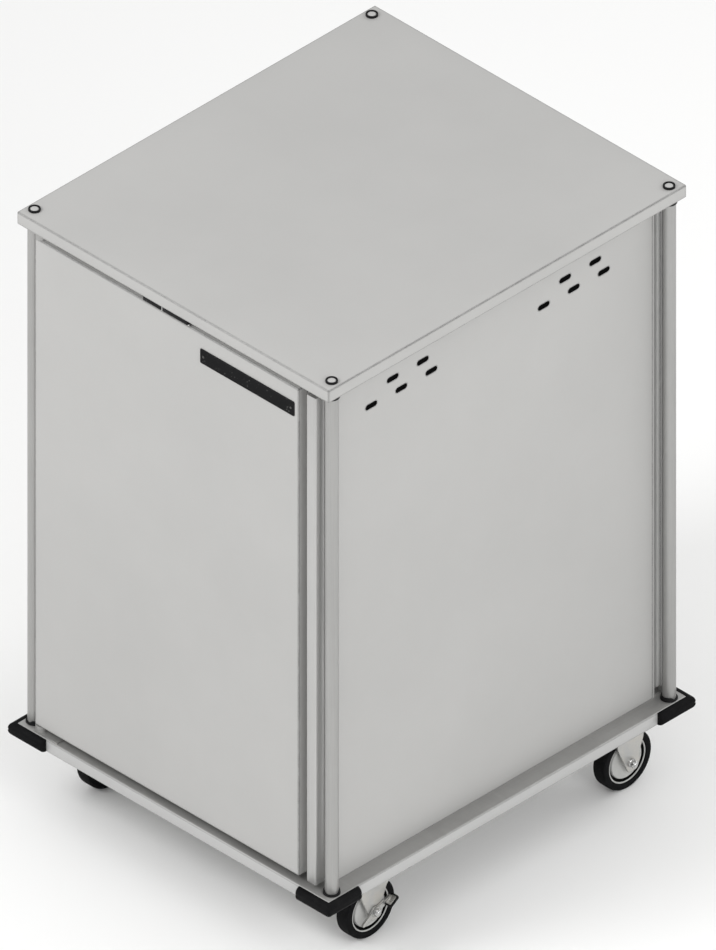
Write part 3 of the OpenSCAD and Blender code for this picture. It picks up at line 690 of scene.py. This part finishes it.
def build_post_bolts():
    """Dome-head bolts above the cover and under the deck"""
    lo, hi = span("post_bolts")
    deck_under = span("base_pan")[1].z - SHEET
    head = deck_under - lo.z
    radius = hi.x - abs(middle("post_fr").x)
    bm = bmesh.new()
    for corner in CORNERS:
        at = middle("post_" + corner)
        domed_head(bm, (at.x, at.y, hi.z - head), "z", radius, head)
        domed_head(bm, (at.x, at.y, deck_under), "-z", radius, head)
    make_piece("post_bolt_heads", bm, "chassis", mat_head, ["post_bolts"], angle=40)


# ---------------------------------------------------------------- cabinet fittings

VENT_L, VENT_H = 31 * MM, 12 * MM


def vent_places():
    """(y, z) of every vent on one side: two groups of three below and two above"""
    lo, hi = span("vent_plugs")
    first, group, pitch, shift = 153.5 * MM, 459 * MM, 80 * MM, 57 * MM
    start = span("base_pan")[0].y + first
    low, high = lo.z + VENT_H / 2, hi.z - VENT_H / 2
    below = [(start + g * group + i * pitch, low) for g in (0, 1) for i in range(3)]
    above = [(start + shift + g * group + i * pitch, high) for g in (0, 1) for i in range(2)]
    return below + above


def add_louvre_bars(bm, y, z, face, side):
    """The two louvre bars of one vent"""
    reach, height, apart, sunk = VENT_L / 2 - 2.5 * MM, 1.2 * MM, 3.8 * MM, 3 * MM
    x = side * (face - sunk)
    for k in (-1, 1):
        bar_z = z + k * apart / 2
        low = (y - reach, bar_z - height / 2, x - 3.6 * MM)
        high = (y + reach, bar_z + height / 2, x + 2 * MM)
        add_rounded_box(bm, low, high, 0.5 * MM, on_x, 0.3 * MM)


def build_vents():
    """Black inserts: a rounded rim, a recess and two louvre bars"""
    depth = 18 * MM
    rim = [(0, -depth), (0, -0.5 * MM), (0.15 * MM, -0.1 * MM), (0.5 * MM, 0.15 * MM),
           (1.1 * MM, 0.1 * MM), (1.5 * MM, -0.5 * MM), (1.7 * MM, -7 * MM)]
    bm = bmesh.new()
    face = span("side_panel_right")[1].x
    for side in (-1, 1):
        for y, z in vent_places():
            rings = []
            for inset, level in rim:
                outline = stadium(VENT_L - 2 * inset, VENT_H - 2 * inset, (y, z))
                rings.append([on_x(u, v, side * (face + level)) for u, v in outline])
            rings_to_mesh(bm, rings)
            add_louvre_bars(bm, y, z, face, side)
    make_piece("vent_inserts", bm, "chassis", mat_black_insert_groove_shade, ["vent_plugs"], angle=40)


def build_catches():
    """Two-part magnetic catch under the cover's edge over each door, with a light spacer between"""
    lo, hi = span("door_catches")
    door_lo, door_hi = span("front_door_skin")
    mid = (door_lo.x + door_hi.x) / 2
    length, split, notch, into_door, sunk = 118 * MM, 48 * MM, 3 * MM, 20 * MM, 0.8 * MM
    inner = -door_lo.y - into_door
    parts = [(0, split, hi.y, 0), (split + notch, length, hi.y, 0),
             (split, split + notch, hi.y - sunk, 1)]
    bm = bmesh.new()
    for end in ENDS.values():
        x0 = -end * (mid - length / 2)
        for a, b, front, index in parts:
            start = len(bm.faces)
            xs = sorted((x0 - end * a, x0 - end * b))
            ys = sorted((end * front, end * inner))
            add_rounded_box(bm, (xs[0], lo.z, ys[0]), (xs[1], hi.z, ys[1]), 1.0 * MM, on_y, 0.6 * MM)
            tint(bm, start, index)
    make_piece("catch_bodies", bm, "chassis", [mat_black, mat_frame],
               ["door_catches"], angle=50)


# ---------------------------------------------------------------- doors


def on_door(place, end):
    """Places for a front door's points; the rear door is the front one turned half round about z"""
    def turned(u, v, w):
        at = place(u, v, w)
        return at if end < 0 else Vector((-at.x, -at.y, at.z))
    return turned


def build_door_panel(body, end):
    """Folded outer skin with rounded bends"""
    lo, hi = span("front_door_skin")
    half, centre = face_of(lo, hi, "xz")
    bend, skin, corner_round, flat_from = 2.6 * MM, 1.5 * MM, 3 * MM, 30 * MM
    profile = [(flat_from, lo.y)] + bend_profile(bend, lo.y, -1)
    profile += [(0, hi.y - 0.4 * MM), (0.4 * MM, hi.y), (skin, hi.y), (skin, lo.y + skin)]
    bm = add_pan(bmesh.new(), half, centre, corner_round, profile, on_door(on_y, end))
    make_piece(body + "_panel", bm, body, mat_panel, [body + "_skin"])


def build_door_liner(body, end):
    """Moulded back: a flat rim for the gasket, a pressed groove and a raised field"""
    lo, hi = span("front_door_back")
    half, centre = face_of(lo, hi, "xz")
    relief = [(1.5, 0), (34, 0), (35, 0.3), (38.5, 3.2), (40, 3.6), (70, 3.6), (71, 3.4), (74, 1.7),
              (75.5, 1.5)]
    profile = [(1.0 * MM, lo.y), (0.3 * MM, lo.y + 0.3 * MM), (0, lo.y + MM),
               (0, hi.y - 1.5 * MM), (0.4 * MM, hi.y - 0.4 * MM)]
    profile += [(inset * MM, hi.y - depth * MM) for inset, depth in relief]
    bm = add_pan(bmesh.new(), half, centre, 8 * MM, profile, on_door(on_y, end))
    make_piece(body + "_liner", bm, body, mat_back, [body + "_back"])


def build_door_seal(body, end):
    """Gasket: a foot, a waist and a bulb, the same to both sides of its middle"""
    lo, hi = span("front_door_gasket")
    half, centre = face_of(lo, hi, "xz")
    mid = 7 * MM
    bulge = [(5.8, 0), (5.8, 0.22), (4.4, 0.34), (5.6, 0.48), (7, 0.62), (6.7, 0.88), (5.2, 1)]
    loop = [(mid + reach * MM, lo.y + share * (hi.y - lo.y)) for reach, share in bulge]
    loop += [(mid - reach * MM, lo.y + share * (hi.y - lo.y)) for reach, share in reversed(bulge)]
    bm = add_frame(bmesh.new(), half, centre, 5 * MM, loop, on_door(on_y, end))
    make_piece(body + "_seal", bm, body, mat_gasket, [body + "_gasket"], angle=55)


def build_door_grip(body, end):
    """Full-height grip bar with rounded edges and a shallow dish in each end"""
    lo, hi = span("front_door_grip")
    half, centre = face_of(lo, hi, "xy")
    tip = [(3.4 * MM, 1.2 * MM), (2.4 * MM, 0.2 * MM), (1.6 * MM, 0), (0.5 * MM, 0.3 * MM), (0, 1.4 * MM)]
    profile = [(inset, lo.z + rise) for inset, rise in tip]
    profile += [(inset, hi.z - rise) for inset, rise in reversed(tip)]
    bm = add_pan(bmesh.new(), half, centre, 3.2 * MM, profile, on_door(on_z, end))
    make_piece(body + "_grip_bar", bm, body, mat_grip, [body + "_grip"])


def build_door_strike(body, end):
    """Small steel plate that the catch holds"""
    lo, hi = span("front_door_strike")
    bm = add_rounded_box(bmesh.new(), lo, hi, 1.5 * MM, on_door(on_z, end), 0.4 * MM)
    make_piece(body + "_strike_plate", bm, body, mat_bolt, [body + "_strike"])


def build_door(name):
    """One door from its front to its back; the foam and the pivots keep their CAD shape"""
    body = name + "_door"
    for build_part in (build_door_panel, build_door_liner, build_door_seal, build_door_grip,
                       build_door_strike):
        build_part(body, ENDS[name])
    dress(body + "_core", mat_foam)
    dress(body + "_pivots", mat_pivot, 0.5 * MM)


def build_nameplate():
    """Blank black plate with a raised rim"""
    lo, hi = span("nameplate")
    half, centre = face_of(lo, hi, "xz")
    back, face = hi.y, lo.y
    profile = [(0.2 * MM, back), (0, back - 0.4 * MM), (0.1 * MM, face + 0.5 * MM), (0.5 * MM, face),
               (1.2 * MM, face), (1.6 * MM, face + 0.35 * MM)]
    bm = add_pan(bmesh.new(), half, centre, 3 * MM, profile, on_y)
    make_piece("nameplate_plate", bm, "front_door", mat_label, ["nameplate"])


def build_nameplate_rivets():
    """Domed rivet heads, one at each end of the nameplate"""
    lo, hi = span("nameplate_rivets")
    mid_z, radius, height = (lo.z + hi.z) / 2, (hi.z - lo.z) / 2, hi.y - lo.y
    dome = [(radius, -0.3 * MM)]
    for turn in (math.radians(a) for a in (0, 20, 40, 60, 78)):
        dome.append((radius * math.cos(turn), height * math.sin(turn)))
    bm = bmesh.new()
    for x in (lo.x + radius, hi.x - radius):
        add_lathe(bm, dome, (x, hi.y, mid_z), "-y", 32)
    make_piece("nameplate_rivet_heads", bm, "front_door", mat_rivet,
               ["nameplate_rivets"], angle=50)


# ---------------------------------------------------------------- casters

AXLE_R, TRAIL = 5 * MM, 35 * MM
PLATE_HALF, PLATE_T = Vector((33.5, 47.5)) * MM, 4 * MM
CROWN_RING = 5.7 * MM
# Along x from a wheel's middle: a leg's outer face, a lever's inner face and a bolt head
LEG_OUT, LEG_T = 24 * MM, 4 * MM
LEVER_FROM, LEVER_T = 24.6 * MM, 4 * MM
HEAD_FROM = 29.2 * MM
# Outline of a leg's foot from the axle, (y, z) in mm
LEG_FOOT = [(-36, 46), (-9, -17.5), (-5, -21.5), (14, -21.5), (18, -17.5), (24, -2), (23.5, 18), (34, 46)]


def mirrored(profile):
    """A wheel's profile on the other side of its middle, back to its start"""
    return [(r, -h) for r, h in reversed(profile)]


def build_tyre(corner):
    """Black tyre: flat side walls, round shoulders and a slight crown"""
    at = middle("tyre_" + corner)
    lo, hi = span("tyre_" + corner)
    hub_lo, hub_hi = span("hub_" + corner)
    outer, half, rim = (hi.z - lo.z) / 2, (hi.x - lo.x) / 2, (hub_hi.z - hub_lo.z) / 2
    shoulder = 4 * MM
    profile = [(rim - 0.3 * MM, half - 4 * MM), (rim + 0.3 * MM, half - 1.4 * MM),
               (rim + 1.6 * MM, half - 0.5 * MM), (outer - shoulder - 3 * MM, half),
               (outer - shoulder, half - 0.1 * MM)]
    for turn in (math.radians(a) for a in (15, 30, 45, 60, 75)):
        profile.append((outer - shoulder + (shoulder - 0.3 * MM) * math.sin(turn),
                        half - shoulder + (shoulder - 0.1 * MM) * math.cos(turn)))
    profile += [(outer - 0.25 * MM, half - shoulder - 0.4 * MM), (outer - 0.05 * MM, half * 0.4)]
    profile = profile + [(outer, 0)] + mirrored(profile)
    bm = add_lathe(bmesh.new(), profile, at, "x", 96, loop=True)
    make_piece("tyre_" + corner + "_rubber", bm, "wheel_" + corner, mat_tyre,
               ["tyre_" + corner], angle=50)


def build_core(corner):
    """Moulded wheel core with a dished disc, a groove painted near black as shade, and a rim"""
    at = middle("hub_" + corner)
    lo, hi = span("hub_" + corner)
    rim, hub = (hi.z - lo.z) / 2, (hi.x - lo.x) / 2
    face = [(5.1 * MM, hub), (11 * MM, hub), (12.2 * MM, hub - 0.8 * MM), (12.6 * MM, 13.5 * MM),
            (14 * MM, 12 * MM), (20 * MM, 11.4 * MM), (36 * MM, 12.6 * MM), (38.8 * MM, 12.2 * MM),
            (39.8 * MM, 11 * MM), (40.2 * MM, 6.2 * MM), (45.4 * MM, 6.2 * MM),
            (45.8 * MM, 12.4 * MM), (46.4 * MM, 13.4 * MM), (rim - 0.4 * MM, 13.4 * MM),
            (rim + 0.1 * MM, 12.8 * MM)]
    profile = face + mirrored(face)
    # Painted shade: the groove's floor and outer wall take the near-black material
    groove = (9, 10)
    count = len(profile)
    materials = [1 if i in groove or count - 2 - i in groove else 0 for i in range(count)]
    bm = add_lathe(bmesh.new(), profile, at, "x", 96, loop=True, materials=materials)
    make_piece("hub_" + corner + "_core", bm, "wheel_" + corner, [mat_core, mat_black_insert_groove_shade],
               ["hub_" + corner], angle=40)


def hexagon(bm, centre, axis, radius, height, chamfer=0.8 * MM):
    """A hexagon head or nut with a turned chamfer on its outer face"""
    place, side = axis_place(axis)
    steps = 48
    rings = []
    for h, cap in ((0, radius), (height - chamfer, radius), (height, radius - 1.6 * chamfer)):
        ring = []
        for i in range(steps):
            a = 2 * math.pi * i / steps
            flat = radius * math.cos(math.pi / 6) / math.cos((a % (math.pi / 3)) - math.pi / 6)
            r = min(flat, cap)
            ring.append(Vector(centre) + place(r * math.cos(a), r * math.sin(a), side * h))
        rings.append(ring)
    rings_to_mesh(bm, rings)


def add_axle(bm, corner):
    """Axle bolt along x: head outboard, nut inboard; a rear one has a spacer where a lever would be"""
    side = CORNERS[corner][0]
    at = middle("hub_" + corner)
    inside = 26 * MM
    for outboard, tip, base in ((1, 38 * MM, HEAD_FROM), (-1, 34 * MM, LEG_OUT)):
        sense = side * outboard
        shank = [(AXLE_R, base - inside), (AXLE_R, tip - 1.2 * MM), (AXLE_R - MM, tip)]
        add_lathe(bm, shank, at, x_axis(sense), 32)
        hexagon(bm, at + Vector((sense * base, 0, 0)), x_axis(sense), 8.5 * MM, 6.5 * MM)
    if corner[0] == "r":
        length, radius, chamfer = HEAD_FROM - LEG_OUT, 9.5 * MM, 0.5 * MM
        spacer = [(radius - chamfer, 0), (radius, chamfer), (radius, length - chamfer),
                  (radius - chamfer, length)]
        add_lathe(bm, spacer, at + Vector((side * LEG_OUT, 0, 0)), x_axis(side), 40)


def add_legs(bm, axle, upper):
    """Both legs of a fork: the foot's outline round the axle, closed by the upper points"""
    points = [(a * MM, b * MM) for a, b in LEG_FOOT] + upper
    outline = soft_outline([(axle.y + a, axle.z + b) for a, b in points], 5 * MM)
    for x in (-LEG_OUT, LEG_OUT - LEG_T):
        add_prism(bm, outline, axle.x + x, axle.x + x + LEG_T, on_x)


def add_top_plate(bm, x, y, under):
    """Top plate of a caster, with rounded corners"""
    low = (x - PLATE_HALF.x, y - PLATE_HALF.y, under)
    high = (x + PLATE_HALF.x, y + PLATE_HALF.y, under + PLATE_T)
    add_rounded_box(bm, low, high, 6 * MM, on_z, 0.7 * MM)


def build_swivel(corner):
    """Front caster: fork with a crown and its half of the race, and its axle bolt"""
    body = "swivel_" + corner
    axle = middle("hub_" + corner)
    swivel_y = axle.y + TRAIL
    crown_top = span("fork_" + corner)[1].z - CROWN_RING
    crown_t, front, behind, wing = 4 * MM, 50 * MM, 30 * MM, 12 * MM
    rise = crown_top - axle.z - MM
    back = TRAIL + behind
    bm = bmesh.new()
    add_legs(bm, axle, [(back, rise + MM - wing), (back, rise), (TRAIL - front, rise)])
    low = (axle.x - LEG_OUT, swivel_y - front, crown_top - crown_t)
    high = (axle.x + LEG_OUT, swivel_y + behind, crown_top)
    add_rounded_box(bm, low, high, 5 * MM, on_z, 1.2 * MM)
    ring = [(8 * MM, 0), (25 * MM, 0), (25 * MM, 3.4 * MM), (24.2 * MM, 4.6 * MM), (22 * MM, 5.4 * MM),
            (8 * MM, 5.4 * MM)]
    add_lathe(bm, ring, (axle.x, swivel_y, crown_top), "z", 64, loop=True)
    make_piece("fork_" + corner + "_pressing", bm, body, mat_zinc, ["fork_" + corner],
               edge=0.8 * MM)
    bm = bmesh.new()
    add_axle(bm, corner)
    make_piece("axle_" + corner + "_bolt", bm, body, mat_bolt, ["axle_" + corner])


def build_swivel_plates():
    """Top plates of the front casters with a double ball race and kingpin"""
    bm = bmesh.new()
    under = span("swivel_plates")[1].z - PLATE_T
    race = [(6 * MM, 0), (27 * MM, 0), (27 * MM, -2.2 * MM), (26 * MM, -3.4 * MM), (27 * MM, -4.4 * MM),
            (27 * MM, -6.2 * MM), (26.2 * MM, -7 * MM), (6 * MM, -7 * MM)]
    kingpin = [(6 * MM, -6 * MM), (6 * MM, -17.4 * MM), (11 * MM, -17.4 * MM), (11 * MM, -21.6 * MM),
               (10.2 * MM, -22.3 * MM)]
    for side in (-1, 1):
        x, y = side * middle("hub_fr").x, middle("hub_fr").y + TRAIL
        add_top_plate(bm, x, y, under)
        add_lathe(bm, race, (x, y, under), "z", 64, loop=True)
        add_lathe(bm, kingpin, (x, y, under), "z", 48)
    make_piece("swivel_races", bm, "chassis", mat_zinc, ["swivel_plates"], angle=40)


def build_rigid():
    """Rear casters: plates, legs and axle bolts"""
    bm = bmesh.new()
    under = span("rigid_forks")[1].z - PLATE_T
    leg_half = 31 * MM
    for corner in ("rl", "rr"):
        at = middle("hub_" + corner)
        add_top_plate(bm, at.x, at.y, under)
        rise = under + MM - at.z
        add_legs(bm, at, [(leg_half, rise), (-leg_half, rise)])
    make_piece("rigid_fork_pressings", bm, "chassis", mat_zinc, ["rigid_forks"],
               edge=0.7 * MM)
    bm = bmesh.new()
    for corner in ("rl", "rr"):
        add_axle(bm, corner)
    make_piece("rear_axle_bolts", bm, "chassis", mat_bolt, ["rear_axles"])


# Outline of a lever's arm and the pad's two ends, from the axle, (y, z) in mm
PEDAL_ARM = [(-36, -17), (-34, -21), (-29, -22), (-10, -11), (10, -6), (24, 3.5), (41, 9.5), (44, 13),
             (43, 18), (38, 20), (22, 15), (8, 10), (-6, 10), (-16, -2), (-32, -12.5)]
PAD_FROM, PAD_TO = Vector((24, 5)) * MM, Vector((46, 20)) * MM
PAD_W = 20 * MM


def add_foot_pad(bm, place, half):
    """Black pad with a steel tread and five ribs on it"""
    start = len(bm.faces)
    add_rounded_box(bm, (0, -half, -2.5 * MM), (PAD_W, half, 1.4 * MM), 4 * MM, place, 0.8 * MM)
    tint(bm, start, 1)
    tread_in, rib_in, rib_half = 3.4 * MM, 5 * MM, 0.8 * MM
    reach = half - 3.2 * MM
    add_rounded_box(bm, (tread_in, -reach, 0), (PAD_W - tread_in, reach, 2 * MM), 2.5 * MM, place,
                    0.5 * MM)
    for v in (k * MM for k in (-8, -4, 0, 4, 8)):
        low, high = (rib_in, v - rib_half, 1.6 * MM), (PAD_W - rib_in, v + rib_half, 2.5 * MM)
        add_rounded_box(bm, low, high, 0.7 * MM, place, 0.3 * MM)


def build_pedal(corner):
    """Rocking brake lever: a pressed arm with an eye, and a foot pad"""
    side = CORNERS[corner][0]
    axle = middle("hub_" + corner)
    inner = axle.x + side * LEVER_FROM
    low, high = sorted((inner, inner + side * LEVER_T))
    bm = bmesh.new()
    arm = soft_outline([(axle.y + a * MM, axle.z + b * MM) for a, b in PEDAL_ARM], 4 * MM)
    add_prism(bm, arm, low, high, on_x)
    eye = arc((axle.y, axle.z), 11 * MM, 0, 350, 35)
    add_prism(bm, eye, low + 0.05 * MM, high - 0.05 * MM, on_x)
    along = (PAD_TO - PAD_FROM).normalized()
    across = Vector((-along.y, along.x))
    heart = (PAD_FROM + PAD_TO) / 2

    def on_pad(u, v, w):
        at = heart + v * along + w * across
        return Vector((inner + side * u, axle.y + at.x, axle.z + at.y))

    add_foot_pad(bm, on_pad, (PAD_TO - PAD_FROM).length / 2)
    make_piece("brake_lever_" + corner, bm, "pedal_" + corner, [mat_zinc, mat_black],
               ["brake_pedal_" + corner], edge=0.4 * MM)


# ---------------------------------------------------------------- build

build_deck()
build_cover()
for corner in CORNERS:
    build_bumper(corner)
    build_post(corner)
    build_tyre(corner)
    build_core(corner)
build_collars()
build_post_bolts()
build_vents()
build_catches()
for name in ENDS:
    build_door(name)
build_nameplate()
build_nameplate_rivets()
build_swivel_plates()
build_rigid()
for corner in ("fl", "fr"):
    build_swivel(corner)
    build_pedal(corner)

dress("base_crossmembers", mat_under, 0.8 * MM)
dress("top_underpan", mat_under)
for side in ("left", "right"):
    dress("side_panel_" + side, mat_panel)
dress("insulation", mat_foam)
dress("inner_liner", mat_liner)
for name in ENDS:
    dress("breaker_" + name, mat_frame)
for part in ("left", "centre", "right"):
    dress("tray_rack_" + part, mat_rack, 0.3 * MM)
# Hinge brackets share the deck steel, painted shade included
dress("hinge_brackets", mat_deck_steel_shaded, 0.5 * MM)
dress("caster_bolts", mat_bolt, 0.3 * MM)

# ---------------------------------------------------------------- floor, light, camera


def build_floor():
    """Wide pale floor"""
    reach = 12
    bm = bmesh.new()
    bmesh.ops.create_grid(bm, x_segments=1, y_segments=1, size=reach)
    mesh = bpy.data.meshes.new("floor")
    bm.to_mesh(mesh)
    bm.free()
    floor = bpy.data.objects.new("floor", mesh)
    bpy.context.scene.collection.objects.link(floor)
    s = Shader("floor_paper", (0.9, 0.9, 0.895), 0.0, 0.8)
    s.set("Specular IOR Level", 0.1)
    mesh.materials.append(s.material)


def add_light(name, at, aim, size, watts):
    """A round area light that faces its aim"""
    data = bpy.data.lights.new(name, "AREA")
    data.shape = "DISK"
    data.size = size
    data.energy = watts
    light = bpy.data.objects.new(name, data)
    light.location = at
    light.rotation_mode = "QUATERNION"
    light.rotation_quaternion = (Vector(aim) - Vector(at)).to_track_quat("-Z", "Y")
    bpy.context.scene.collection.objects.link(light)


def build_light():
    """White surroundings, and three large lights aimed at the cabinet's middle"""
    world = bpy.data.worlds.new("studio")
    bpy.context.scene.world = world
    world.use_nodes = True
    sky = world.node_tree.nodes["Background"]
    sky.inputs["Color"].default_value = (1.0, 1.0, 1.0, 1.0)
    sky.inputs["Strength"].default_value = 0.75
    aim = (0, 0, 0.7)
    add_light("key", (-1.6, -4.2, 4.6), aim, size=2.6, watts=150)
    add_light("fill", (4.6, -1.0, 3.0), aim, size=2.6, watts=80)
    add_light("back", (1.5, 4.5, 3.6), aim, size=2.4, watts=60)


def build_camera():
    """Isometric view of the front and right sides, set on the cover's near corner"""
    shift_right, shift_down, distance = 55.2 * MM, 156.8 * MM, 8
    back = Vector((1, -1, 1)).normalized()
    turn = (-back).to_track_quat("-Z", "Y")
    right, up = turn @ Vector((1, 0, 0)), turn @ Vector((0, 1, 0))
    lo, hi = span("top_cover")
    corner = Vector((hi.x, lo.y, hi.z))
    target = corner + shift_right * right - shift_down * up
    data = bpy.data.cameras.new("camera")
    data.type = "ORTHO"
    data.ortho_scale = 1.788
    data.clip_end = 40
    camera = bpy.data.objects.new("camera", data)
    camera.rotation_mode = "QUATERNION"
    camera.rotation_quaternion = turn
    camera.location = target + back * distance
    bpy.context.scene.collection.objects.link(camera)
    bpy.context.scene.camera = camera


build_floor()
build_light()
build_camera()
bpy.context.scene.view_settings.view_transform = "Standard"
